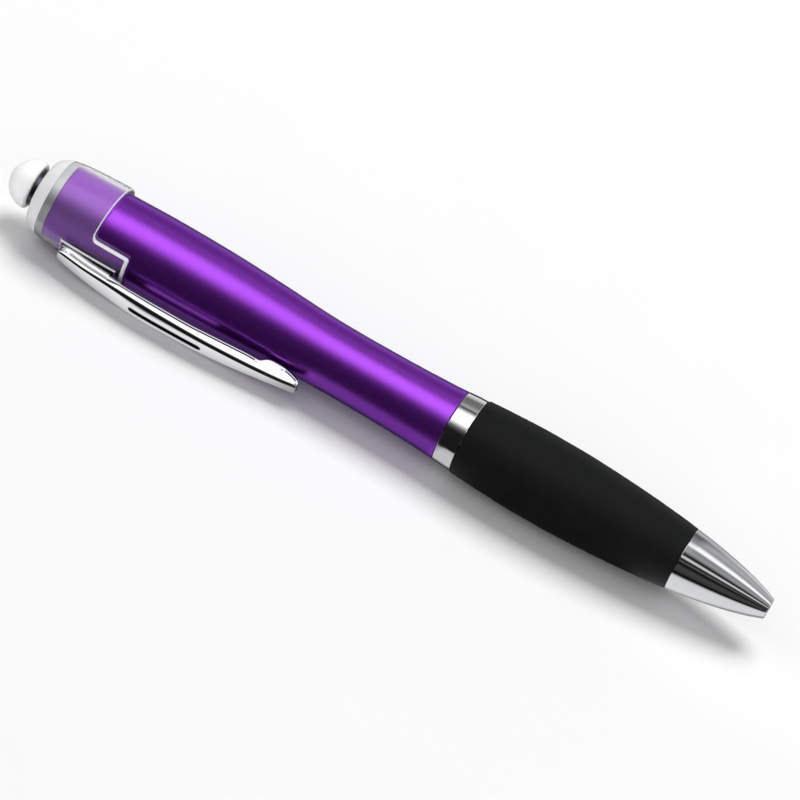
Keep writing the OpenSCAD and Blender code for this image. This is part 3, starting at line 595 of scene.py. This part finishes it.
    pos = {}
    for i, (z, inset) in enumerate(zs):
        pts = section(z, inset)
        ring = pts + [(x, -y) for x, y in reversed(pts[1:-1])]
        for j, (x, y) in enumerate(ring):
            zz = z
            across = j <= 4 or j >= n - 4 or m - 5 <= j <= m + 3
            if across and i in (ia, ib) and abs(y) < sw:
                bend = math.sqrt(max(0.0, sw * sw - y * y))
                zz = z - bend if i == ia else z + bend
                x += section(zz, 0)[0][0] - section(z, 0)[0][0]
            inside = across and ia < i < ib and abs(y) < sw - 1e-6
            below = m - 8 <= j <= m + 6
            if j <= 9 or j >= n - 9 or below:
                fade = step(87, 96, z) * (1 - step(116, 125, z)) if below else 1
                y -= 0.25 * fade * max(0.0, 1 - abs(y) / (0.9 * HALF(z)))
            pos[i, j] = (x, y, zz)
            if not inside:
                at[i, j] = put(x, y, zz)
    for i in range(len(zs) - 1):
        for j in range(n):
            k = (j + 1) % n
            if ia <= i < ib and ((j < 4 or j >= n - 4) or m - 5 <= j < m + 3):
                continue
            # underside, lip and root faces of the clip get the near-black finish: painted shade
            if 30 <= j <= n - 31:
                painted_shade_faces.append(len(faces))
            faces.append((at[i, j], at[i, k], at[i + 1, k], at[i + 1, j]))
    for i in (0, len(zs) - 1):
        cap = delaunay_2d_cdt([Vector(pos[i, j][:2]) for j in range(n)], [], [list(range(n))], 1, 1e-6)
        faces += [tuple(at[i, cap[3][v][0]] for v in f) for f in cap[2]]
    # slot's edge, from the face through the sheet
    out_cols = [j % n for j in range(n - 4, n + 5)]
    in_cols = list(range(m + 3, m - 6, -1))
    order = [(ia, c) for c in range(0, 8)] + [(i, 8) for i in range(ia, ib)] + [(ib, c) for c in range(8, 0, -1)] + [(i, 0) for i in range(ib, ia, -1)]
    lines = []
    for s in range(len(order)):
        i, c = order[s]
        (i0, c0), (i1, c1) = order[s - 1], order[(s + 1) % len(order)]
        a, b = pos[i0, out_cols[c0]], pos[i1, out_cols[c1]]
        tan = Vector((b[1] - a[1], b[2] - a[2])).normalized()
        x, y, z = pos[i, out_cols[c]]
        u, v, w = pos[i, in_cols[c]]
        line = [at[i, out_cols[c]]]
        for g, px, py, pz, way in [(g, x, y, z, -1) for g in (30, 60, 90)] + [(g, u, v, w, 1) for g in (90, 60, 30)]:
            d, e = rs * math.sin(math.radians(g)), rs * (1 - math.cos(math.radians(g)))
            line.append(put(px + way * e, py - d * tan.y, pz + d * tan.x))
        lines.append(line + [at[i, in_cols[c]]])
    for p, q in zip(lines, lines[1:] + lines[:1]):
        for k in range(len(p) - 1):
            # the slot's walls get the near-black finish: painted shade
            if k > 1:
                painted_shade_faces.append(len(faces))
            faces.append((p[k], p[k + 1], q[k + 1], q[k]))
    return piece("clip", verts, faces, "clip", ["clip"], CLIP_CHROME_PAINTED_BRIGHT, 42, CLIP_PAINTED_SHADE, painted_shade_faces)


clip()

# ---------------------------------------------------------------- stage, light and camera
scene = bpy.context.scene
me = bpy.data.meshes.new("floor")
me.from_pydata([(-6, -6, -0.00003), (6, -6, -0.00003), (6, 6, -0.00003), (-6, 6, -0.00003)], [], [(0, 1, 2, 3)])
floor = bpy.data.objects.new("floor", me)
scene.collection.objects.link(floor)
floor_mat = principled("floor_paper", (0.86, 0.86, 0.865), 0.004, 0.8, 0.0, 0.03, 40, 0.0, 900, sockets={"Specular IOR Level": 0.1})
me.materials.append(floor_mat)

scene.view_settings.view_transform = "Standard"
scene.view_settings.look = "None"

world = bpy.data.worlds.new("studio")
scene.world = world
world.use_nodes = True
nt = world.node_tree
nt.nodes.clear()


def node(kind, **settings):
    n = nt.nodes.new("ShaderNode" + kind)
    for k, v in settings.items():
        setattr(n, k, v)
    return n


def ramp_of(stops):
    n = node("ValToRGB")
    el = n.color_ramp.elements
    while len(el) > 1:
        el.remove(el[-1])
    for k, (deg, v) in enumerate(stops):
        e = el[0] if k == 0 else el.new(deg / 180)
        e.position = deg / 180
        e.color = (v / 2, v / 2, v / 2 * 1.01, 1)
    return n


# What shiny surfaces see: degrees in the plane across the pen, from the horizon at -Y, over the top, to the horizon at +Y.
# One set of softboxes is over the pen, another in front of the nose.
over = ramp_of([(0, 0.01), (26, 0.012), (34, 0.06), (40, 0.16), (46, 0.5), (52, 0.98), (58, 1.28), (64, 1.4), (72, 1.46), (80, 1.42), (86, 1.24), (92, 0.75), (97, 0.35),
                (101, 0.1), (105, 0.1), (110, 0.38), (116, 0.3), (125, 0.17), (148, 0.15), (156, 0.4), (166, 0.62), (180, 0.66)])
# What matt surfaces see: most of the fill comes from the camera's side
fill = ramp_of([(0, 0.9), (52, 0.9), (72, 0.12), (180, 0.08)])
ahead = ramp_of([(0, 0.077), (10, 0.06), (16, 0.012), (21, 0.008), (25, 0.11), (28, 0.12), (32, 0.006), (36, 0.05), (39, 0.55), (41, 0.9), (43.5, 0.9), (46, 0.48), (49.5, 0.012),
                 (54, 0.01), (58, 0.16), (61, 0.28), (66, 0.44), (73, 0.4), (80, 0.34), (83, 0.4), (87, 1.0), (91, 1.5), (98, 1.45), (103, 1.1), (108, 0.6), (112, 0.42),
                 (125, 0.57), (139, 0.57), (146, 0.46), (154, 0.6), (164, 0.9), (176, 1.03)])
# What is seen through the clear collar: an even light over the pen
through = ramp_of([(0, 0.06), (30, 0.12), (50, 0.62), (66, 1.05), (90, 1.05), (110, 0.9), (180, 0.85)])
out = node("OutputWorld")
shiny, matt, plain, clear = node("Background"), node("Background"), node("Background"), node("Background")
path, co, sep = node("LightPath"), node("TexCoord"), node("SeparateXYZ")
neg = node("Math", operation="MULTIPLY")
neg.inputs[1].default_value = -1
ang = node("Math", operation="ARCTAN2")
rng, side = node("MapRange"), node("MapRange")
rng.inputs["From Max"].default_value = math.pi
side.inputs["From Min"].default_value, side.inputs["From Max"].default_value = 0.08, 0.16
both = node("Mix", data_type="RGBA")
nt.links.new(co.outputs["Generated"], sep.inputs[0])
nt.links.new(sep.outputs["Y"], neg.inputs[0])
nt.links.new(sep.outputs["Z"], ang.inputs[0])
nt.links.new(neg.outputs[0], ang.inputs[1])
nt.links.new(ang.outputs[0], rng.inputs["Value"])
nt.links.new(sep.outputs["X"], side.inputs["Value"])
for r, socket in ((over, both.inputs["A"]), (ahead, both.inputs["B"]), (fill, matt.inputs["Color"]), (through, clear.inputs["Color"])):
    nt.links.new(rng.outputs["Result"], r.inputs["Fac"])
    nt.links.new(r.outputs["Color"], socket)
nt.links.new(side.outputs["Result"], both.inputs["Factor"])
nt.links.new(both.outputs["Result"], shiny.inputs["Color"])
shiny.inputs["Strength"].default_value = matt.inputs["Strength"].default_value = clear.inputs["Strength"].default_value = 2.0
plain.inputs["Color"].default_value = (0.95, 0.95, 0.955, 1)
mix0, mix1, mix2 = node("MixShader"), node("MixShader"), node("MixShader")
nt.links.new(path.outputs["Is Transmission Ray"], mix0.inputs[0])
nt.links.new(shiny.outputs[0], mix0.inputs[1])
nt.links.new(clear.outputs[0], mix0.inputs[2])
nt.links.new(path.outputs["Is Diffuse Ray"], mix1.inputs[0])
nt.links.new(mix0.outputs[0], mix1.inputs[1])
nt.links.new(matt.outputs[0], mix1.inputs[2])
nt.links.new(path.outputs["Is Camera Ray"], mix2.inputs[0])
nt.links.new(mix1.outputs[0], mix2.inputs[1])
nt.links.new(plain.outputs[0], mix2.inputs[2])
nt.links.new(mix2.outputs[0], out.inputs["Surface"])

# Card on the table that only reflections see: pale beside the pen, black further out
me = bpy.data.meshes.new("reflector_card")
me.from_pydata([(-6.2, -6.2, 0.00002), (6.2, -6.2, 0.00002), (6.2, 6.2, 0.00002), (-6.2, 6.2, 0.00002)], [], [(0, 1, 2, 3)])
card = bpy.data.objects.new("reflector_card", me)
scene.collection.objects.link(card)
card.visible_camera = card.visible_diffuse = card.visible_shadow = card.visible_transmission = card.visible_volume_scatter = False
card_mat = bpy.data.materials.new("reflector_card")
card_mat.use_nodes = True
nt = card_mat.node_tree
nt.nodes.clear()
co, sep = node("TexCoord"), node("SeparateXYZ")
nt.links.new(co.outputs["Object"], sep.inputs[0])


def across(stops):
    """Brightness across the pen, from the first distance (mm) on the -Y side to the axis."""
    far = stops[0][0]
    r, n = node("MapRange"), ramp_of([(180 * (y - far) / -far, 2 * v) for y, v in stops])
    r.inputs["From Min"].default_value, r.inputs["From Max"].default_value = far / 1000, 0.0
    nt.links.new(sep.outputs["Y"], r.inputs["Value"])
    nt.links.new(r.outputs["Result"], n.inputs["Fac"])
    return n.outputs["Color"]


def along(a, b, from_x, to_x):
    """One colour up to a place along the pen, another after it."""
    r, n = node("MapRange"), node("Mix", data_type="RGBA")
    r.inputs["From Min"].default_value, r.inputs["From Max"].default_value = from_x, to_x
    nt.links.new(sep.outputs["X"], r.inputs["Value"])
    nt.links.new(r.outputs["Result"], n.inputs["Factor"])
    nt.links.new(a, n.inputs["A"])
    nt.links.new(b, n.inputs["B"])
    return n.outputs["Result"]


by_clip = across([(-20, 0.01), (-9.8, 0.01), (-9.1, 0.95), (-8.4, 0.88), (-7.3, 0.77), (-6.1, 0.55), (-5, 0.42), (-4, 0.15), (0, 0.12)])
by_barrel = across([(-20, 0.01), (-15, 0.02), (-11, 0.31), (-7, 0.3), (-4, 0.33), (-1.6, 0.1), (0, 0.04)])
by_ring = across([(-20, 0.01), (-16, 0.01), (-14.5, 0.4), (-12, 0.49), (-9, 0.53), (-3.2, 0.53), (-1.6, 0.07), (0, 0.03)])
by_grip = across([(-20, 0.01), (-14, 0.08), (-8, 0.12), (-3.2, 0.12), (0, 0.04)])
by_nose = across([(-60, 0.06), (-42, 0.03), (-33, 0.006), (-25, 0.008), (-22, 0.07), (-19.8, 0.3), (-17.5, 0.72), (-15, 0.9), (-11, 0.97), (-2.5, 1.0), (-1, 0.8), (0, 0.4)])
glow, out = node("Emission"), node("OutputMaterial")
shade = along(along(along(along(by_clip, by_barrel, -0.018, -0.010), by_ring, 0.0103, 0.0114), by_grip, 0.0155, 0.02), by_nose, 0.048, 0.053)
nt.links.new(shade, glow.inputs["Color"])
nt.links.new(glow.outputs[0], out.inputs["Surface"])
me.materials.append(card_mat)


# Dark card beside the tail that only the purple under the clear collar sees: painted shade, a darker floor seen through
# the collar
me = bpy.data.meshes.new("dark_card")
me.from_pydata([(-1.5, -1.5, 0.00003), (-0.04, -1.5, 0.00003), (-0.04, -0.0086, 0.00003), (-1.5, -0.0086, 0.00003)], [], [(0, 1, 2, 3)])
card = bpy.data.objects.new("dark_card", me)
scene.collection.objects.link(card)
card.visible_camera = card.visible_diffuse = card.visible_glossy = card.visible_shadow = card.visible_volume_scatter = False
dark_mat = bpy.data.materials.new("dark_card")
dark_mat.use_nodes = True
nt = dark_mat.node_tree
nt.nodes.clear()
glow, out = node("Emission"), node("OutputMaterial")
glow.inputs["Color"].default_value = (0.3, 0.3, 0.31, 1)
nt.links.new(glow.outputs[0], out.inputs["Surface"])
me.materials.append(dark_mat)


def softbox(name, angle, dist, wide, long, energy, x=0.0):
    """Area light across the pen at an angle over the -Y horizon, facing the pen."""
    data = bpy.data.lights.new(name, "AREA")
    data.shape = "RECTANGLE"
    data.size, data.size_y = long, wide
    data.energy = energy
    o = bpy.data.objects.new(name, data)
    a = math.radians(angle)
    back = Vector((0, -math.cos(a), math.sin(a)))
    m = Matrix((Vector((1, 0, 0)), back.cross(Vector((1, 0, 0))), back)).transposed().to_4x4()
    m.translation = Vector((x, 0, 0.007)) + back * dist
    o.matrix_world = m
    o.visible_camera = o.visible_glossy = o.visible_transmission = False
    scene.collection.objects.link(o)
    return o


softbox("key_softbox", 114, 3.0, 1.9, 1.9, 79.5)

cam_data = bpy.data.cameras.new("camera")
cam = bpy.data.objects.new("camera", cam_data)
scene.collection.objects.link(cam)
scene.camera = cam
cam_data.sensor_width = 36
cam_data.lens = 223.2
cam_data.clip_start, cam_data.clip_end = 0.05, 20
tilt, slant, roll = math.radians(7), math.radians(30), math.radians(64)
d = Vector((math.cos(tilt) * math.cos(slant), -math.cos(tilt) * math.sin(slant), math.sin(tilt)))
up = Vector((0, 0, 1))
e_c = (up - up.dot(d) * d).normalized()
e_t = Vector((-math.sin(slant), -math.cos(slant), 0))
c = math.cos(roll) * e_c + math.sin(roll) * e_t
seen_axes = Matrix((d, c, d.cross(c))).transposed()
x_w, c_w = Vector((1, 0, 0)), Vector((0, -CD, -SD))
pen_axes = Matrix((x_w, c_w, x_w.cross(c_w))).transposed()
turn = (seen_axes @ pen_axes.transposed()).transposed()
m = turn.to_4x4()
m.translation = Vector((0.0028, AXIS_Y / 1000, AXIS_Z / 1000)) - turn @ Vector((0.0002686, 0.000478, -0.8))
cam.matrix_world = m
